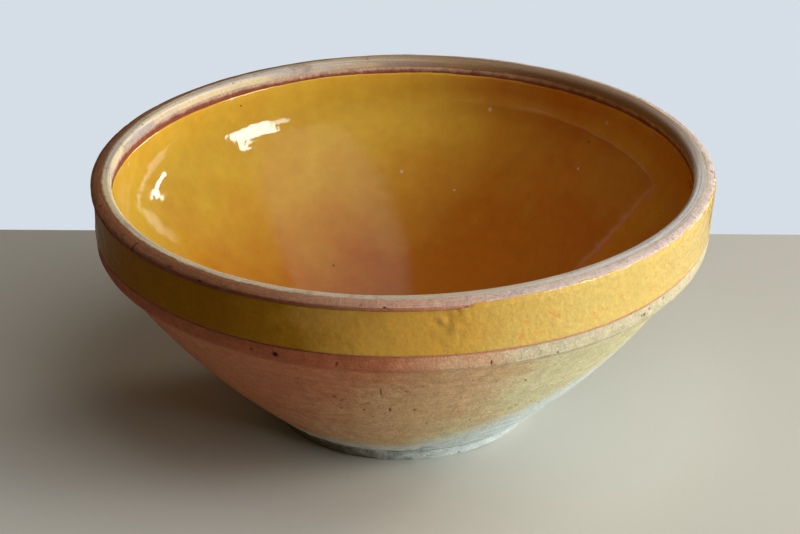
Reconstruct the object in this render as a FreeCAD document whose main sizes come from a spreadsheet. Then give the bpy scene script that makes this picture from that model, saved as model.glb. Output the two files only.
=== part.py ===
import FreeCAD, Part
import math
import os
import re

import Sketcher

# Glazed earthenware mixing bowl: a wheel-thrown clay body, the pale slip on its lip and the
# glaze inside it and on the collar's band. The glaze lies on slip that has fused with it.
# Millimetres, +Z up, origin at the centre of the foot on the table. Every piece is turned
# about the Z axis from a profile on the XZ plane, where x is the radius and y the height.

SIZES = [
    ("rim_radius", 200.0, "outer radius of the lip"),
    ("total_height", 170.0, "table to the top of the lip"),
    ("foot_radius", 85.5, "outer radius of the foot on the table"),
    ("foot_flare", 5.5, "how much wider the foot is at its top"),
    ("foot_height", 10.0, "height of the foot"),
    ("foot_ring_width", 16.0, "width of the ring that stands on the table"),
    ("foot_edge_bevel", 1.5, "height of the foot's worn lower edge"),
    ("recess_depth", 3.0, "hollow turned under the foot"),
    ("recess_slope", 4.0, "run of the hollow's sloping side"),
    ("collar_overhang", 8.5, "how far the lip stands out past the wall under the collar"),
    ("wall_curve_radius", 486.0, "radius of the wall's outward curve"),
    ("wall_thickness", 11.0, "thickness of the wall"),
    ("collar_height", 46.0, "underside of the collar to the top of the lip"),
    ("bead_setback", 1.0, "how far the bead's face lies behind the lip's side"),
    ("bead_round_radius", 5.5, "rounding of the bead's lower edge"),
    ("bead_height", 12.0, "height of the bead below the band"),
    ("bead_edge_bevel", 0.6, "width of the bead's worn upper edge"),
    ("band_height", 28.0, "height of the glazed band"),
    ("band_recess", 2.0, "depth of the band's face behind the lip"),
    ("band_hollow_radius", 180.0, "radius of the band's hollow face"),
    ("lip_width", 13.3, "width of the lip, inside to outside"),
    ("lip_slope_width", 6.0, "width of the lip's outward slope"),
    ("lip_slope_radius", 9.5, "radius of the lip's outward slope"),
    ("lip_edge_radius", 2.2, "rounding of the lip's outer edge"),
    ("lip_inner_radius", 2.6, "rounding of the lip's inner edge"),
    ("shoulder_radius", 45.0, "inside curve from the lip's face to the wall"),
    ("floor_curve_radius", 70.0, "inside curve from the wall to the floor"),
    ("floor_height", 15.0, "inside floor above the table"),
    ("slip_thickness", 0.3, "thickness of the pale slip on the lip"),
    ("slip_drop", 6.0, "top of the lip to the slip's lower edge inside"),
    ("glaze_thickness", 0.8, "thickness of the glaze with the slip that it fused with"),
    ("bare_lip_depth", 10.6, "top of the lip to the inside glaze's edge"),
    ("band_margin", 0.4, "bare clay at the band's upper and lower edges"),
]

doc = FreeCAD.newDocument("mixing_bowl")
sheet = doc.addObject("Spreadsheet::Sheet", "Sizes")
for row, (alias, size, meaning) in enumerate(SIZES, start=1):
    sheet.set(f"A{row}", alias)
    sheet.set(f"B{row}", str(size))
    sheet.set(f"C{row}", meaning)
    sheet.setAlias(f"B{row}", alias)
doc.recompute()

# Radii and levels that several profiles share, as formulas of the sizes.
BARE = "0"
GLAZED = "glaze_thickness"
FOOT_TOP_RADIUS = "(foot_radius + foot_flare)"
RING_RADIUS = "(foot_radius - foot_ring_width)"
WALL_TOP_RADIUS = "(rim_radius - collar_overhang)"
COLLAR_LOW = "(total_height - collar_height)"
BEAD_RADIUS = "(rim_radius - bead_setback)"
BAND_LOW = f"({COLLAR_LOW} + bead_height)"
BAND_TOP = f"({BAND_LOW} + band_height)"
BAND_RADIUS = "(rim_radius - band_recess)"
CROWN = "(total_height - slip_thickness)"
CROWN_RADIUS = "(rim_radius - lip_slope_width)"
INSIDE_RADIUS = "(rim_radius - lip_width + slip_thickness)"
SLIP_EDGE = "(total_height - slip_drop)"
GLAZE_EDGE = "(total_height - bare_lip_depth)"
FLOOR = "(floor_height - glaze_thickness)"


def bound(formula):
    """The formula as an expression that reads each size from its cell."""
    return re.sub(r"[a-z]+(?:_[a-z]+)+", r"Sizes.\g<0>", formula)


def value(formula):
    return float(sheet.evalExpression(bound(formula)))


def constrain(sketch, *terms, formula=None):
    """Adds a constraint; a dimension follows its formula."""
    if formula is None:
        sketch.addConstraint(Sketcher.Constraint(*terms))
        return
    index = sketch.addConstraint(Sketcher.Constraint(*terms, value(formula)))
    sketch.setExpression(f"Constraints[{index}]", bound(formula))


def vector(point):
    return FreeCAD.Vector(point[0], point[1], 0)


def arc_centre(start, end, radius, left):
    """Centre of the arc from start to end, on the left or the right of the way between them."""
    along = (end[0] - start[0], end[1] - start[1])
    chord = math.hypot(*along)
    share = math.sqrt(max(radius**2 - chord**2 / 4, 0.0)) / chord
    if not left:
        share = -share
    return (
        (start[0] + end[0]) / 2 - along[1] * share,
        (start[1] + end[1]) / 2 + along[0] * share,
    )


def from_hub(hub, radius, towards):
    """The point at a radius from the hub, in the direction of another point."""
    share = radius / math.dist(hub, towards)
    return hub[0] + (towards[0] - hub[0]) * share, hub[1] + (towards[1] - hub[1]) * share


class Outline:
    """Lines and arcs in a sketch, each starting where the one before ended."""

    def __init__(self, sketch, start):
        self.sketch = sketch
        self.start = start
        self.point = start
        self.first_vertex = None
        self.vertex = None

    def line(self, end, smooth=False, lies=None):
        """A straight edge to end; lies is Horizontal or Vertical."""
        edge = self.sketch.addGeometry(Part.LineSegment(vector(self.point), vector(end)), False)
        self.join((edge, 1), (edge, 2), end, smooth)
        if lies:
            constrain(self.sketch, lies, edge)

    def arc(self, end, radius, left=True, smooth=True):
        """An arc to end whose radius follows a formula; returns its index."""
        size = value(radius)
        centre = arc_centre(self.point, end, size, left)
        angles = [math.atan2(p[1] - centre[1], p[0] - centre[0]) for p in (self.point, end)]
        vertices = [1, 2]
        if not left:
            angles.reverse()
            vertices.reverse()
        circle = Part.Circle(vector(centre), FreeCAD.Vector(0, 0, 1), size)
        edge = self.sketch.addGeometry(Part.ArcOfCircle(circle, *angles), False)
        self.join((edge, vertices[0]), (edge, vertices[1]), end, smooth)
        constrain(self.sketch, "Radius", edge, formula=radius)
        return edge

    def join(self, near, far, end, smooth):
        if self.vertex is None:
            self.first_vertex = near
        else:
            constrain(self.sketch, "Tangent" if smooth else "Coincident", *self.vertex, *near)
        self.vertex = far
        self.point = end

    def pin(self, radius=None, height=None):
        """Holds the outline's present end at a radius, a height or both."""
        for kind, formula in (("DistanceX", radius), ("DistanceY", height)):
            if formula:
                constrain(self.sketch, kind, -1, 1, *self.vertex, formula=formula)

    def pin_to_axis(self):
        constrain(self.sketch, "PointOnObject", *self.vertex, -2)

    def pin_to_table(self):
        constrain(self.sketch, "PointOnObject", *self.vertex, -1)

    def close(self):
        constrain(self.sketch, "Coincident", *self.vertex, *self.first_vertex)


def turned(label, draw):
    """A body turned about the Z axis from the profile that draw makes."""
    body = doc.addObject("PartDesign::Body", label)
    body.Label = label
    sketch = body.newObject("Sketcher::SketchObject", f"{label}_profile")
    plane = next(p for p in body.Origin.OriginFeatures if p.Role == "XZ_Plane")
    sketch.AttachmentSupport = [(plane, "")]
    sketch.MapMode = "FlatFace"
    draw(sketch)
    doc.recompute()
    turn = body.newObject("PartDesign::Revolution", f"{label}_turn")
    turn.Profile = sketch
    turn.ReferenceAxis = (sketch, ["V_Axis"])
    turn.Angle = 360.0
    body.Tip = turn
    body.Placement = FreeCAD.Placement()
    doc.recompute()
    return body


def wall_ends():
    """Where the outside of the wall leaves the foot, and where it meets the collar."""
    foot = (value(FOOT_TOP_RADIUS), value("foot_height"))
    return foot, (value(WALL_TOP_RADIUS), value(COLLAR_LOW))


def wall_guide(sketch):
    """The wall's outside curve as a guide line; returns the number of its arc."""
    foot, collar = wall_ends()
    guide = Outline(sketch, collar)
    arc = guide.arc(foot, "wall_curve_radius", left=False)
    sketch.toggleConstruction(arc)
    guide.pin(FOOT_TOP_RADIUS, "foot_height")
    guide.vertex = guide.first_vertex
    guide.pin(WALL_TOP_RADIUS, COLLAR_LOW)
    return arc


def inside_corners(coat):
    """Where the inside's face, shoulder, wall, corner and floor meet, from the top down.

    The surface lies one coat inside the clay: all of its arcs keep the clay's centres.
    """
    foot, collar = wall_ends()
    hub = arc_centre(foot, collar, value("wall_curve_radius"), True)
    wall = value(f"wall_curve_radius - wall_thickness - {coat}")
    shoulder = value(f"shoulder_radius - {coat}")
    corner = value(f"floor_curve_radius - {coat}")
    face_radius = value(f"{INSIDE_RADIUS} - {coat}")
    floor = value(f"{FLOOR} + {coat}")
    shoulder_x = face_radius - shoulder
    shoulder_z = hub[1] - math.sqrt((wall - shoulder) ** 2 - (shoulder_x - hub[0]) ** 2)
    corner_z = floor + corner
    corner_x = hub[0] + math.sqrt((wall - corner) ** 2 - (corner_z - hub[1]) ** 2)
    return [
        (face_radius, shoulder_z),
        from_hub(hub, wall, (shoulder_x, shoulder_z)),
        from_hub(hub, wall, (corner_x, corner_z)),
        (corner_x, floor),
        (0, floor),
    ]


def inside_down(outline, coat, guide):
    """Draws the inside surface from its vertical face down to the axis."""
    bend, upper, lower, flat, centre = inside_corners(coat)
    outline.line(bend, lies="Vertical")
    outline.pin(f"{INSIDE_RADIUS} - {coat}")
    outline.arc(upper, f"shoulder_radius - {coat}", left=False)
    wall = outline.arc(lower, f"wall_curve_radius - wall_thickness - {coat}", left=False)
    constrain(outline.sketch, "Coincident", wall, 3, guide, 3)
    outline.arc(flat, f"floor_curve_radius - {coat}", left=False)
    outline.line(centre, smooth=True, lies="Horizontal")
    outline.pin(height=f"{FLOOR} + {coat}")
    outline.pin_to_axis()


def inside_up(outline, coat, guide, top):
    """Draws the inside surface from the axis up to the height top."""
    bend, upper, lower, flat, centre = inside_corners(coat)
    outline.line(centre)
    outline.pin(height=f"{FLOOR} + {coat}")
    outline.pin_to_axis()
    outline.line(flat, lies="Horizontal")
    outline.arc(lower, f"floor_curve_radius - {coat}")
    wall = outline.arc(upper, f"wall_curve_radius - wall_thickness - {coat}")
    constrain(outline.sketch, "Coincident", wall, 3, guide, 3)
    outline.arc(bend, f"shoulder_radius - {coat}")
    outline.line((bend[0], value(top)), smooth=True, lies="Vertical")
    outline.pin(f"{INSIDE_RADIUS} - {coat}")


def draw_foot(outline):
    """The hollow under the foot, the ring that it stands on and its flared side."""
    ring = value(RING_RADIUS)
    foot = value("foot_radius")
    bevel = value("foot_edge_bevel")
    outline.line((ring - value("recess_slope"), value("recess_depth")), lies="Horizontal")
    outline.pin(f"{RING_RADIUS} - recess_slope")
    outline.line((ring, 0))
    outline.pin(RING_RADIUS)
    outline.pin_to_table()
    outline.line((foot - bevel, 0))
    outline.pin("foot_radius - foot_edge_bevel")
    outline.pin_to_table()
    outline.line((foot, bevel))
    outline.pin("foot_radius", "foot_edge_bevel")
    outline.line(wall_ends()[0])
    outline.pin(FOOT_TOP_RADIUS, "foot_height")


def draw_collar(outline):
    """The underside and the rounded bead of the collar, and the hollow face of its band."""
    level = value(COLLAR_LOW)
    bead = value(BEAD_RADIUS)
    turn = value("bead_round_radius")
    bevel = value("bead_edge_bevel")
    band_low = value(BAND_LOW)
    outline.line((bead - turn, level), lies="Horizontal")
    outline.arc((bead, level + turn), "bead_round_radius")
    outline.line((bead, band_low - bevel), smooth=True)
    outline.pin(BEAD_RADIUS, f"{BAND_LOW} - bead_edge_bevel")
    outline.line((bead - bevel, band_low))
    outline.pin(f"{BEAD_RADIUS} - bead_edge_bevel", BAND_LOW)
    outline.line((value(BAND_RADIUS), band_low), lies="Horizontal")
    outline.pin(BAND_RADIUS)
    outline.arc((value(BAND_RADIUS), value(BAND_TOP)), "band_hollow_radius", left=False, smooth=False)
    outline.pin(BAND_RADIUS, BAND_TOP)


def draw_lip(outline):
    """The lip: an upright side, a rounded edge, an outward slope, the crown and the inner edge."""
    rim = value("rim_radius")
    crown = value(CROWN)
    edge = value("lip_edge_radius")
    slope = value("lip_slope_radius")
    inner = value("lip_inner_radius")
    inside = value(INSIDE_RADIUS)
    hub = (value(CROWN_RADIUS), crown - slope)
    edge_z = hub[1] + math.sqrt((slope - edge) ** 2 - (rim - edge - hub[0]) ** 2)
    outline.line((rim, value(BAND_TOP)), lies="Horizontal")
    outline.line((rim, edge_z), lies="Vertical")
    outline.pin("rim_radius")
    outline.arc(from_hub(hub, slope, (rim - edge, edge_z)), "lip_edge_radius")
    outline.arc((hub[0], crown), "lip_slope_radius")
    outline.pin(CROWN_RADIUS, CROWN)
    outline.line((inside + inner, crown), smooth=True, lies="Horizontal")
    outline.arc((inside, crown - inner), "lip_inner_radius")


def draw_clay(sketch):
    """The one piece of clay, from the hollow under the foot up over the lip and down inside."""
    foot, collar = wall_ends()
    outline = Outline(sketch, (0, value("recess_depth")))
    draw_foot(outline)
    wall = outline.arc(collar, "wall_curve_radius", smooth=False)
    outline.pin(WALL_TOP_RADIUS, COLLAR_LOW)
    draw_collar(outline)
    draw_lip(outline)
    inside_down(outline, BARE, wall)
    outline.line((0, value("recess_depth")))
    outline.pin(height="recess_depth")
    outline.pin_to_axis()
    outline.close()


def draw_lip_slip(sketch):
    """Pale slip on the lip's crown, round its inner edge and a little way down inside."""
    crown = value(CROWN)
    top = value("total_height")
    inside = value(INSIDE_RADIUS)
    inner = value("lip_inner_radius")
    skin = inside - value("slip_thickness")
    outline = Outline(sketch, (value(CROWN_RADIUS), crown))
    outline.line((inside + inner, crown), lies="Horizontal")
    outline.arc((inside, crown - inner), "lip_inner_radius")
    outline.line((inside, value(SLIP_EDGE)), smooth=True, lies="Vertical")
    outline.pin(INSIDE_RADIUS, SLIP_EDGE)
    outline.line((skin, value(SLIP_EDGE)), lies="Horizontal")
    outline.line((skin, crown - inner), lies="Vertical")
    outline.pin(f"{INSIDE_RADIUS} - slip_thickness")
    outline.arc((inside + inner, top), "lip_inner_radius + slip_thickness", left=False)
    outline.line((value(CROWN_RADIUS), top), smooth=True, lies="Horizontal")
    outline.pin(CROWN_RADIUS, "total_height")
    outline.line((value(CROWN_RADIUS), crown), lies="Vertical")
    outline.pin(height=CROWN)
    outline.close()


def draw_inside_glaze(sketch):
    """Glaze over the inside, from its edge under the lip to the middle of the floor."""
    guide = wall_guide(sketch)
    inside = value(INSIDE_RADIUS)
    top = value(GLAZE_EDGE)
    outline = Outline(sketch, (inside, top))
    inside_down(outline, BARE, guide)
    inside_up(outline, GLAZED, guide, GLAZE_EDGE)
    outline.pin(height=GLAZE_EDGE)
    outline.line((inside, top), lies="Horizontal")
    outline.close()


def draw_band_glaze(sketch):
    """Glaze on the band's hollow face, with a line of bare clay above and below it."""
    low = f"({BAND_LOW} + band_margin)"
    top = f"({BAND_TOP} - band_margin)"
    over = f"{BAND_RADIUS} + glaze_thickness"
    outline = Outline(sketch, (value(BAND_RADIUS), value(low)))
    outline.line((value(over), value(low)))
    outline.pin(over, low)
    outline.arc((value(over), value(top)), "band_hollow_radius", left=False, smooth=False)
    outline.pin(over, top)
    outline.line((value(BAND_RADIUS), value(top)))
    outline.pin(BAND_RADIUS, top)
    outline.arc((value(BAND_RADIUS), value(low)), "band_hollow_radius", smooth=False)
    outline.pin(BAND_RADIUS, low)
    outline.close()


def check(pieces):
    """Stops the build if an object failed, or if a piece isn't one valid solid."""
    for thing in doc.Objects:
        if "Invalid" in thing.State or "Error" in thing.State:
            raise RuntimeError(f"{thing.Name} failed: {thing.State}")
    for piece in pieces:
        if piece.Shape.isNull() or not piece.Shape.isValid() or len(piece.Shape.Solids) != 1:
            raise RuntimeError(f"{piece.Label} is not one valid solid")


pieces = [
    turned("clay_body", draw_clay),
    turned("lip_slip", draw_lip_slip),
    turned("inside_glaze", draw_inside_glaze),
    turned("band_glaze", draw_band_glaze),
]
check(pieces)

os.makedirs("parts", exist_ok=True)
for piece in pieces:
    piece.Shape.exportStep(f"parts/{piece.Label}.step")
    box = piece.Shape.optimalBoundingBox(False)
    print(f"{piece.Label}: {piece.Shape.Volume / 1000:.1f} cm3, "
          f"radius {box.XMax:.2f}, height {box.ZMin:.2f} to {box.ZMax:.2f}")
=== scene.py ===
import math
import random

import bmesh
import bpy
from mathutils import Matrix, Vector, kdtree, noise


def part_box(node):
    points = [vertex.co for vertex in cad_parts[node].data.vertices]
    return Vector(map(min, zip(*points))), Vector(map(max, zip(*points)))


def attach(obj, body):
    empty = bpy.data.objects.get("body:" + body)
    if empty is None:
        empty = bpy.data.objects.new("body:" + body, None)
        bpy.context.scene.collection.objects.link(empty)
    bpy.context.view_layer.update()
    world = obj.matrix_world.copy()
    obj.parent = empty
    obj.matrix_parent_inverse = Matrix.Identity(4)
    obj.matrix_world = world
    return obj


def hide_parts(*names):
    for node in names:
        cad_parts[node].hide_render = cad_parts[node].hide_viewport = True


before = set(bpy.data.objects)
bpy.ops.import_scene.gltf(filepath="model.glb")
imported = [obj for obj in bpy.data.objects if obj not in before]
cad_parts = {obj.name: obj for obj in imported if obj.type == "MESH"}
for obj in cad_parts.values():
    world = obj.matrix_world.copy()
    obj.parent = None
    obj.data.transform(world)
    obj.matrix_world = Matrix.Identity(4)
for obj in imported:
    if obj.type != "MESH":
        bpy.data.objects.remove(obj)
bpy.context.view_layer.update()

# A wheel-thrown earthenware mixing bowl, glazed inside and on the band of its folded collar.
# Metres, Z up, foot on the floor. Outlines are (radius, height) pairs turned about Z.

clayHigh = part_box("clay_body")[1]
slipLow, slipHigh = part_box("lip_slip")
glazeLow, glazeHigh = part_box("inside_glaze")
bandLow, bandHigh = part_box("band_glaze")

mm = 0.001
turnSteps = 416  # faces round the clay and the inside glaze
edgeSteps = 720  # and round the two coats whose edges are ragged

collar = dict(
    rimRadius=clayHigh.x,
    crown=clayHigh.z,  # clay under the slip
    crownRadius=slipHigh.x,
    insideRadius=glazeHigh.x,
    slopeRadius=9.5 * mm,  # the lip's outward slope, and the rounding of its two edges
    edgeRadius=2.2 * mm,
    innerRadius=2.6 * mm,
    low=clayHigh.z - 45.7 * mm,
    bandLow=bandLow.z - 0.4 * mm,
    bandTop=bandHigh.z + 0.4 * mm,
    bandRadius=bandHigh.x - 0.8 * mm,
    bandLowRadius=bandHigh.x - 1.2 * mm,
    bandHollow=180 * mm,
    beadRadius=clayHigh.x - 2.2 * mm,  # worn back behind the glaze
    beadRound=5.5 * mm,
)
foot = dict(radius=85.5 * mm, topRadius=91 * mm, height=10 * mm, ring=69.5 * mm, recess=3 * mm,
            slope=4 * mm)
wall = dict(topRadius=collar["rimRadius"] - 8.5 * mm, curve=486 * mm, thickness=11 * mm)
inside = dict(shoulder=45 * mm, corner=70 * mm, floor=glazeLow.z)
coats = dict(glaze=0.8 * mm, slip=0.3 * mm)
kilnWarp = dict(slope=0.0086, fromHeight=10 * mm, toHeight=124 * mm)  # the rim's tilt over the level foot


def smoothStep(low, high, value):
    t = min(max((value - low) / (high - low), 0.0), 1.0)
    return t * t * (3 - 2 * t)


def arcPoints(centre, radius, fromAngle, toAngle, steps):  # angles in degrees, 0 is outwards
    points = []
    for i in range(steps + 1):
        turn = math.radians(fromAngle + (toAngle - fromAngle) * i / steps)
        points.append((centre[0] + radius * math.cos(turn), centre[1] + radius * math.sin(turn)))
    return points


def straight(start, end, steps):  # without its first point
    return [(start[0] + (end[0] - start[0]) * i / steps, start[1] + (end[1] - start[1]) * i / steps)
            for i in range(1, steps + 1)]


def arcCentre(start, end, radius):  # on the left of the way from start to end
    chord = math.dist(start, end)
    share = math.sqrt(radius ** 2 - chord ** 2 / 4) / chord
    return ((start[0] + end[0]) / 2 - (end[1] - start[1]) * share,
            (start[1] + end[1]) / 2 + (end[0] - start[0]) * share)


wallHub = arcCentre((foot["topRadius"], foot["height"]), (wall["topRadius"], collar["low"]), wall["curve"])


def wallOutline(steps):  # the outside of the wall, from the foot up to the collar
    low = math.degrees(math.atan2(foot["height"] - wallHub[1], foot["topRadius"] - wallHub[0]))
    high = math.degrees(math.atan2(collar["low"] - wallHub[1], wall["topRadius"] - wallHub[0]))
    return arcPoints(wallHub, wall["curve"], low, high, steps)


def insideOutline(coat, wallSteps, roundSteps):  # from the middle of the floor up to the lip's face
    wallRadius = wall["curve"] - wall["thickness"] - coat
    shoulder = inside["shoulder"] - coat
    corner = inside["corner"] - coat
    floorLevel = inside["floor"] + coat
    shoulderX = collar["insideRadius"] - inside["shoulder"]
    shoulderZ = wallHub[1] - math.sqrt((wallRadius - shoulder) ** 2 - (shoulderX - wallHub[0]) ** 2)
    cornerZ = floorLevel + corner
    cornerX = wallHub[0] + math.sqrt((wallRadius - corner) ** 2 - (cornerZ - wallHub[1]) ** 2)
    lowAngle = math.degrees(math.atan2(cornerZ - wallHub[1], cornerX - wallHub[0]))
    highAngle = math.degrees(math.atan2(shoulderZ - wallHub[1], shoulderX - wallHub[0]))
    floor = straight((0, floorLevel), (cornerX, floorLevel), roundSteps)
    cornerArc = arcPoints((cornerX, cornerZ), corner, -90, lowAngle, roundSteps)[1:]
    wallArc = arcPoints(wallHub, wallRadius, lowAngle, highAngle, wallSteps)[1:]
    shoulderArc = arcPoints((shoulderX, shoulderZ), shoulder, highAngle, 0, roundSteps)[1:]
    return [(0, floorLevel)] + floor + cornerArc + wallArc + shoulderArc


def rimOutline(coat):  # up the rim's side and over its rounded edge and slope
    rim = collar["rimRadius"]
    edgeRadius, slopeRadius = collar["edgeRadius"], collar["slopeRadius"]
    slopeHub = (collar["crownRadius"], collar["crown"] - slopeRadius)
    edgeX = rim - edgeRadius
    edgeZ = slopeHub[1] + math.sqrt((slopeRadius - edgeRadius) ** 2 - (edgeX - slopeHub[0]) ** 2)
    joint = math.degrees(math.atan2(edgeZ - slopeHub[1], edgeX - slopeHub[0]))
    points = straight((rim + coat, collar["bandTop"] + 0.7 * mm), (rim + coat, edgeZ), 2)
    points += arcPoints((edgeX, edgeZ), edgeRadius + coat, 0, joint, 5)[1:]
    points += arcPoints(slopeHub, slopeRadius + coat, joint, 90, 7)[1:]
    return points


def lipOutline():  # from the top of the band over the rim to the inner edge
    rim, inner = collar["rimRadius"], collar["innerRadius"]
    hub = (collar["insideRadius"] + inner, collar["crown"] - inner)
    points = [(rim - 0.5 * mm, collar["bandTop"]), (rim - 0.1 * mm, collar["bandTop"] + 0.25 * mm)]
    points += rimOutline(0)
    points += straight(points[-1], (hub[0], collar["crown"]), 5)
    points += arcPoints(hub, inner, 90, 180, 6)[1:]
    return points


def bandOutline(low, top, steps, coat=0):  # the band's hollow face, a little wider at the top
    hollow = collar["bandHollow"]
    lowEnd = (collar["bandLowRadius"] + coat, low)
    topEnd = (collar["bandRadius"] + coat, top)
    centre = arcCentre(topEnd, lowEnd, hollow)
    lowAngle = 180 + math.degrees(math.atan2(centre[1] - low, centre[0] - lowEnd[0]))
    topAngle = 180 + math.degrees(math.atan2(centre[1] - top, centre[0] - topEnd[0]))
    return arcPoints(centre, hollow, lowAngle, topAngle, steps)


def clayOutline():
    bead, low, turn = collar["beadRadius"], collar["low"], collar["beadRound"]
    points = [(0, foot["recess"])]
    points += straight(points[-1], (foot["ring"] - foot["slope"], foot["recess"]), 3)
    points += [(foot["ring"] - 0.8 * mm, 0.3 * mm), (foot["ring"], 0)]
    points += straight(points[-1], (foot["radius"] - 1.5 * mm, 0), 3)
    points += [(foot["radius"] - 0.6 * mm, 0.35 * mm), (foot["radius"], 1.5 * mm)]
    points += straight(points[-1], (foot["topRadius"], foot["height"]), 5)
    points += wallOutline(56)[1:]
    points += straight(points[-1], (bead - turn, low), 3)
    points += arcPoints((bead - turn, low + turn), turn, -90, 0, 9)[1:]
    points += straight(points[-1], (bead, collar["bandLow"] - 1.0 * mm), 4)
    points += [(bead, collar["bandLow"] - 0.6 * mm), (bead - 0.1 * mm, collar["bandLow"] - 0.25 * mm)]
    points += bandOutline(collar["bandLow"], collar["bandTop"], 12)
    points += lipOutline()
    inner = insideOutline(0, 10, 4)
    points += straight(points[-1], inner[-1], 8)
    points += inner[-2::-1]
    return points


def turned(outline, steps=turnSteps):  # a closed skin; the outline ends on the axis or closes on itself
    wedges = 16
    shape = bmesh.new()
    rail = [shape.verts.new((radius, 0, height)) for radius, height in outline]
    edges = [shape.edges.new(pair) for pair in zip(rail, rail[1:])]
    bmesh.ops.spin(shape, geom=rail + edges, cent=(0, 0, 0), axis=(0, 0, 1), angle=2 * math.pi / wedges,
                   steps=steps // wedges)
    wedge = shape.verts[:] + shape.edges[:] + shape.faces[:]
    bmesh.ops.spin(shape, geom=wedge, cent=(0, 0, 0), axis=(0, 0, 1),
                   angle=2 * math.pi * (wedges - 1) / wedges, steps=wedges - 1, use_duplicate=True)
    bmesh.ops.remove_doubles(shape, verts=shape.verts, dist=1e-6)
    bmesh.ops.recalc_face_normals(shape, faces=shape.faces)
    shape.normal_update()
    return shape


def outsideRadius(height):  # of the bare clay, near enough to place a mark
    if height < foot["height"]:
        share = height / foot["height"]
        return foot["radius"] + share * (foot["topRadius"] - foot["radius"])
    if height < collar["low"]:
        return wallHub[0] + math.sqrt(wall["curve"] ** 2 - (height - wallHub[1]) ** 2)
    if height < collar["bandLow"]:
        return collar["beadRadius"]
    share = smoothStep(collar["bandTop"], collar["crown"], height)
    return collar["rimRadius"] + share * (collar["crownRadius"] - collar["rimRadius"])


def hump(low, middle, high, value):  # 1 at the middle, 0 at both ends
    return smoothStep(low, middle, value) * smoothStep(high, middle, value)


# The potter's lines round the collar aren't quite level: by how much, and over which angles and heights.
bandLift = dict(by=1.3 * mm, round=(-150, -95, -40), heights=(152 * mm, 164 * mm, 169 * mm))
beadDrop = dict(by=2.0 * mm, round=(-150, -90, 40), below=(98 * mm, 123 * mm), above=(152 * mm, 122 * mm))
beadDip = dict(by=1.6 * mm, round=(-85, -51, -15))  # added to the drop
rimRise = dict(by=1.5 * mm, round=(-115, -48, 5), heights=(150 * mm, 166 * mm))


def collarSag(angle, height):
    lift = bandLift["by"] * hump(*bandLift["round"], angle) * hump(*bandLift["heights"], height)
    drop = beadDrop["by"] * hump(*beadDrop["round"], angle) + beadDip["by"] * hump(*beadDip["round"], angle)
    return lift - drop * smoothStep(*beadDrop["below"], height) * smoothStep(*beadDrop["above"], height)


def tilt(shape):  # the rim dried and fired a little out of level; the height before that is kept
    level = shape.verts.layers.float.new("level")
    for vert in shape.verts:
        co = vert.co
        vert[level] = co.z
        share = smoothStep(kilnWarp["fromHeight"], kilnWarp["toHeight"], co.z)
        angle = math.degrees(math.atan2(co.y, co.x))
        rise = rimRise["by"] * hump(*rimRise["round"], angle) * smoothStep(*rimRise["heights"], co.z)
        lean = kilnWarp["slope"] * co.x * share + rise
        if math.hypot(co.x, co.y) > outsideRadius(co.z) - 5 * mm:
            lean += collarSag(angle, co.z)
        co.z += lean


def finished(shape, name, node, material):
    tilt(shape)
    mesh = bpy.data.meshes.new(name)
    shape.to_mesh(mesh)
    shape.free()
    mesh.materials.append(material)
    piece = bpy.data.objects.new(name, mesh)
    bpy.context.collection.objects.link(piece)
    mesh.shade_smooth()
    mesh.set_sharp_from_angle(angle=math.radians(40))
    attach(piece, "root")
    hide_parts(node)
    print("made", name, len(mesh.polygons), "faces")
    return piece


def shift(shape, rule):  # moves each point along its normal by what the rule gives, in metres
    shape.normal_update()
    moves = [(vert, vert.normal * rule(vert.co)) for vert in shape.verts]
    for vert, move in moves:
        vert.co += move


def wander(co, size, seed=0.0):  # smooth noise from about -1 to 1, with features of a size in metres
    return noise.noise(Vector((co.x / size + seed, co.y / size, co.z / size - seed)))


def rings(co, pitch, wobble):  # throwing rings: one slow spiral of a pitch in metres
    turn = math.atan2(co.y, co.x) / (2 * math.pi)
    return math.sin(2 * math.pi * (co.z / pitch + turn + wobble * wander(co, 60 * mm, 3.1)))


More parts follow.
